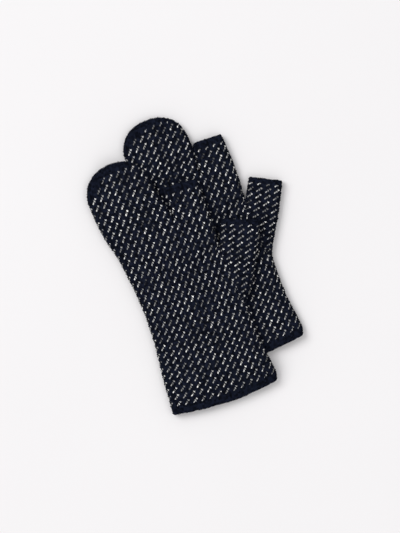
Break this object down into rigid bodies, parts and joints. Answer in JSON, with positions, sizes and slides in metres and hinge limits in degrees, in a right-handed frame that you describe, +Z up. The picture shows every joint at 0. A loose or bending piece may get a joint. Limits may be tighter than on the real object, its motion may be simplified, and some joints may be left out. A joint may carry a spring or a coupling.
{
  "type": "knitted mittens with open index finger and thumb",
  "caption": "Pair of navy flecked knitted mittens with an open thumb, an open index finger and a closed pouch for the other fingers, laid flat one across the other.",
  "frame": {"origin": "centre of the pair's outline, at the level of the surface it lies on", "axes": "+Y from the cuffs to the fingertips, +X towards the thumbs, +Z up"},
  "size_m": [0.1886, 0.2914, 0.0204],
  "materials": {
    "flecked_knit": "matte stranded wool knit, navy with diagonal off-white flecks",
    "plain_knit": "matte plain navy wool knit"
  },
  "bodies": {
    "lower_hand": {"lower_cuff_band": "plain_knit", "lower_hand_top": "flecked_knit", "lower_hand_under": "flecked_knit", "lower_hand_outer_side": "flecked_knit", "lower_hand_thumb_side": "flecked_knit", "lower_hand_index_side": "flecked_knit", "lower_thumb_gusset_top": "flecked_knit", "lower_thumb_gusset_under": "flecked_knit", "lower_thumb_gusset_side": "flecked_knit", "lower_pouch_top": "flecked_knit", "lower_pouch_under": "flecked_knit", "lower_pouch_outer_side": "flecked_knit", "lower_pouch_index_side": "flecked_knit"},
    "lower_pouch_tip": {"lower_pouch_tip_top": "flecked_knit", "lower_pouch_tip_under": "flecked_knit", "lower_pouch_crown": "plain_knit"},
    "lower_index": {"lower_index_top": "flecked_knit", "lower_index_under": "flecked_knit", "lower_index_outer_side": "flecked_knit", "lower_index_pouch_side": "flecked_knit", "lower_index_band": "plain_knit"},
    "lower_thumb": {"lower_thumb_top": "flecked_knit", "lower_thumb_under": "flecked_knit", "lower_thumb_outer_side": "flecked_knit", "lower_thumb_index_side": "flecked_knit", "lower_thumb_band": "plain_knit"},
    "upper_hand": {"upper_cuff_band": "plain_knit", "upper_hand_top": "flecked_knit", "upper_hand_under": "flecked_knit", "upper_hand_outer_side": "flecked_knit", "upper_hand_thumb_side": "flecked_knit", "upper_hand_index_side": "flecked_knit", "upper_thumb_gusset_top": "flecked_knit", "upper_thumb_gusset_under": "flecked_knit", "upper_thumb_gusset_side": "flecked_knit"},
    "upper_pouch": {"upper_pouch_top": "flecked_knit", "upper_pouch_under": "flecked_knit", "upper_pouch_outer_side": "flecked_knit", "upper_pouch_index_side": "flecked_knit"},
    "upper_pouch_tip": {"upper_pouch_tip_top": "flecked_knit", "upper_pouch_tip_under": "flecked_knit", "upper_pouch_crown": "plain_knit"},
    "upper_index": {"upper_index_top": "flecked_knit", "upper_index_under": "flecked_knit", "upper_index_outer_side": "flecked_knit", "upper_index_pouch_side": "flecked_knit", "upper_index_band": "plain_knit"},
    "upper_thumb": {"upper_thumb_top": "flecked_knit", "upper_thumb_under": "flecked_knit", "upper_thumb_outer_side": "flecked_knit", "upper_thumb_index_side": "flecked_knit", "upper_thumb_band": "plain_knit"}
  },
  "joints": [
    {"name": "upper_lift", "type": "slide", "parent": "lower_hand", "child": "upper_hand", "axis": [0, 0, 1], "range_m": [0, 0.12]},
    {"name": "upper_pouch_curl", "type": "hinge", "parent": "upper_hand", "child": "upper_pouch", "pos_m": [-0.05665, 0.04435, 0.0204], "axis": [1, 0, 0], "range_deg": [0, 90]},
    {"name": "upper_tip_curl", "type": "hinge", "parent": "upper_pouch", "child": "upper_pouch_tip", "pos_m": [-0.06135, 0.08635, 0.0204], "axis": [1, 0, 0], "range_deg": [0, 70]},
    {"name": "upper_index_curl", "type": "hinge", "parent": "upper_hand", "child": "upper_index", "pos_m": [-0.00565, 0.04435, 0.0204], "axis": [1, 0, 0], "range_deg": [0, 90]},
    {"name": "upper_thumb_fold", "type": "hinge", "parent": "upper_hand", "child": "upper_thumb", "pos_m": [0.01135, 0.00485, 0.0204], "axis": [0.3927, -0.9197, 0], "range_deg": [0, 80]},
    {"name": "lower_tip_curl", "type": "hinge", "parent": "lower_hand", "child": "lower_pouch_tip", "pos_m": [-0.01015, 0.11835, 0.01], "axis": [1, 0, 0], "range_deg": [0, 70]},
    {"name": "lower_index_curl", "type": "hinge", "parent": "lower_hand", "child": "lower_index", "pos_m": [0.03635, 0.07635, 0.01], "axis": [1, 0, 0], "range_deg": [0, 90]},
    {"name": "lower_thumb_fold", "type": "hinge", "parent": "lower_hand", "child": "lower_thumb", "pos_m": [0.05235, 0.03685, 0.01], "axis": [0.3131, -0.9497, 0], "range_deg": [0, 80]}
  ]
}
